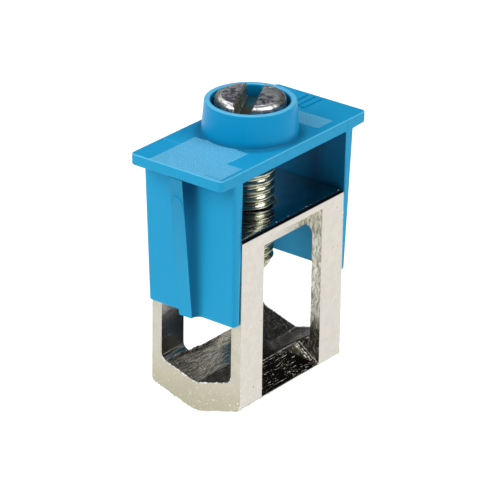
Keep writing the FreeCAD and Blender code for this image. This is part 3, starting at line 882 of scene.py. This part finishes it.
def cut_slot(piece, slot_paint):
    """Cuts the driver slot into the head; its floor gets the shank's finish."""
    cutter = make_slot_cutter(slot_paint)
    cut = piece.modifiers.new("slot", "BOOLEAN")
    cut.operation = "DIFFERENCE"
    cut.solver = "EXACT"
    cut.material_mode = "TRANSFER"
    cut.object = cutter
    bpy.context.view_layer.update()
    whole = bpy.data.meshes.new_from_object(piece.evaluated_get(bpy.context.evaluated_depsgraph_get()))
    piece.modifiers.clear()
    piece.data = whole
    whole.name = piece.name
    whole.set_sharp_from_angle(angle=math.radians(30))
    for face in whole.polygons:
        if face.material_index == SLOT and face.normal.z > 0.9:
            face.material_index = SHANK
    bpy.data.objects.remove(cutter)


def head_profile():
    """The head from its seat to its crown, as radius and height: a rounded edge and a slightly domed top."""
    edge_in, edge_low, edge_rise = 0.6, HEAD_TOP - 0.58, 0.66
    edge_steps = 6
    crown, dome = HEAD_TOP + 0.15, 0.05
    profile = [(ROOT_R, SEAT), (HEAD_R - 0.12, SEAT), (HEAD_R, SEAT + 0.12), (HEAD_R, edge_low)]
    for part in range(1, edge_steps + 1):
        angle = math.pi / 2 * part / edge_steps
        profile.append((HEAD_R - edge_in * (1 - math.cos(angle)), edge_low + edge_rise * math.sin(angle)))
    for radius in (3.3, 2.6, 1.8, 0.9, 0.0):
        profile.append((radius, crown - dome * (radius / HEAD_R) ** 2))
    return profile


def make_screw(paint, head_paint, slot_paint, crest_paint):
    """The slotted screw with its whole thread, as one closed form."""
    shape = bmesh.new()
    helix_grid(shape, SCREW_TIP, SEAT, thread_radius, CREST)
    lathe(shape, [(0.0, SCREW_TIP + 0.02), (1.2, SCREW_TIP), (TIP_R, SCREW_TIP)])
    lathe(shape, head_profile())
    bmesh.ops.remove_doubles(shape, verts=shape.verts, dist=2e-6)
    bmesh.ops.dissolve_degenerate(shape, edges=shape.edges, dist=1e-7)
    bmesh.ops.recalc_face_normals(shape, faces=shape.faces)
    for face in shape.faces:
        if face.calc_center_median().z > (SEAT - 0.01) * MM:
            face.material_index = HEAD
    paints = [paint, head_paint, slot_paint, crest_paint]
    piece = new_piece("threaded_screw", shape, "screw", paints)
    cut_slot(piece, slot_paint)
    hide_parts("clamp_screw")


def nut_radius(height, column):
    """The radius of the thread in the frame, a little outside the screw's."""
    share = thread_share(height, column)
    return min(CREST_R + 0.04 - (CREST_R - ROOT_R - 0.1) * share, HOLE_R - 0.02)


def make_nut_thread(paint):
    """The thread inside the frame's hole, between the screw's flanks."""
    shape = bmesh.new()
    low, high = CEILING + 0.15, FRAME_TOP - 0.32
    helix_grid(shape, low, high, nut_radius)
    open_edges = [edge for edge in shape.edges if edge.is_boundary]
    rings = lathe(shape, [(HOLE_R - 0.005, low), (HOLE_R - 0.005, high)])
    for height, ring in zip((low, high), rings):
        inner = [edge for edge in open_edges if abs(edge.verts[0].co.z - height * MM) < 1e-7]
        members = set(ring)
        outer = [edge for edge in shape.edges if edge.verts[0] in members and edge.verts[1] in members]
        bmesh.ops.bridge_loops(shape, edges=inner + outer)
    bmesh.ops.recalc_face_normals(shape, faces=shape.faces)
    new_piece("nut_thread", shape, "frame", [paint])


# Stage: floor, light and camera.
def make_camera():
    """The photograph's camera: place and aim in millimetres, roll about its line of sight in degrees."""
    place = Vector((-290.1, -222.9, 185.7)) * MM
    aim = Vector((0.12, -0.16, 16.93)) * MM
    roll = 0.884
    data = bpy.data.cameras.new("photo_camera")
    data.lens = 250.4
    data.sensor_width = 36.0
    data.clip_start = 0.01
    data.clip_end = 20.0
    camera = bpy.data.objects.new("photo_camera", data)
    bpy.context.scene.collection.objects.link(camera)
    turn = (aim - place).to_track_quat("-Z", "Y").to_matrix() @ Matrix.Rotation(math.radians(roll), 3, "Z")
    camera.matrix_world = Matrix.Translation(place) @ turn.to_4x4()
    bpy.context.scene.camera = camera


def make_light(name, azimuth, elevation, distance, wide, high, power):
    """A softbox seen from the clamp at an azimuth and elevation in degrees; sizes in metres, watts."""
    data = bpy.data.lights.new(name, "AREA")
    data.shape = "RECTANGLE"
    data.size = wide
    data.size_y = high
    data.energy = power
    light = bpy.data.objects.new(name, data)
    bpy.context.scene.collection.objects.link(light)
    level = math.radians(azimuth)
    rise = math.radians(elevation)
    aim = Vector((0, 0, 0.02))
    direction = Vector((math.cos(level) * math.cos(rise), math.sin(level) * math.cos(rise), math.sin(rise)))
    light.location = aim + direction * distance
    light.rotation_euler = (-direction).to_track_quat("-Z", "Y").to_euler()


def make_floor():
    """A white sheet that glows near the clamp and falls off to pale grey further out."""
    shape = bmesh.new()
    bmesh.ops.create_circle(shape, cap_ends=True, radius=3.0, segments=96)
    floor = new_object("floor", shape)
    paint, tree, shader = new_paint("pale_floor", (0.2, 0.2, 0.2), 0.9, 0.0)
    shader.inputs["Specular IOR Level"].default_value = 0.1
    shader.inputs["Emission Strength"].default_value = 1.0
    away = tree.vector_math("LENGTH", tree.place())["Value"]
    near, far = (1.0, 1.0, 1.0, 1), (0.55, 0.55, 0.56, 1)
    tree.feed(shader.inputs["Emission Color"], tree.mix(tree.step(away, 150.0, 500.0), near, far))
    floor.data.materials.append(paint)


def make_world():
    """A dim room that is pale at the horizon and overhead, and glows behind the clamp."""
    world = bpy.data.worlds.new("studio")
    world.use_nodes = True
    tree = NodeTree(world.node_tree)
    direction = tree.add("ShaderNodeTexCoord").outputs["Generated"]
    height = tree.parts(direction)[2]
    horizon = tree.step(height, 0.12, 0.03)
    overhead = tree.step(height, 0.55, 0.95)
    behind = tree.vector_math("DOT_PRODUCT", direction, second=(0.72, 0.55, 0.42))["Value"]
    glow = tree.step(behind, 0.78, 0.97)
    strength = tree.math("ADD", tree.weigh((horizon, 0.5), (overhead, 0.9), (glow, 0.85)), 0.08)
    tree.feed(world.node_tree.nodes["Background"].inputs["Strength"], strength)
    bpy.context.scene.world = world


make_floor()
make_world()
make_light("left_box", 158, 38, 0.7, 0.55, 0.55, 5.35)
make_light("right_box", -80, 38, 0.7, 0.4, 0.55, 3.4)
make_light("back_box", 68, 48, 0.7, 0.34, 0.34, 0.9)
make_light("top_box", -45, 74, 0.8, 0.6, 0.6, 2.1)
make_camera()
bpy.context.scene.view_settings.view_transform = "Standard"

blue = make_blue_moulding()
make_moulded_cover(blue)
make_gate_mark(blue)

EVEN = (1.0, 1.0, 1.0)
torn = make_torn_plating()
bright = make_plating("plated_bright", (0.52, 0.53, 0.53), 0.08, EVEN, 0.6, 0.002)
drawn = make_plating("plated_drawn", (0.62, 0.60, 0.58), 0.16, (0.1, 2.2, 2.2), 4.0, 0.008, 0.6)
frame_paints = [
    make_rolled_plating(), make_sawn_plating(), torn, make_ramp_plating(), drawn, make_gritty_plating(),
    bright,
]
make_ring_frame(frame_paints, [make_chip_plating(), torn])

zinc = make_plating("zinc_thread", (0.56, 0.57, 0.42), 0.22, EVEN, 2.0, 0.002, 0.35)
# Painted highlight: a paler, rougher copy of the thread's zinc on the crests.
crest = make_plating("zinc_crest_highlight", (0.85, 0.85, 0.80), 0.38, EVEN, 3.0, 0.01, 0.6)
make_screw(zinc, make_head_plating(), make_slot_plating(), crest)
make_nut_thread(bright)
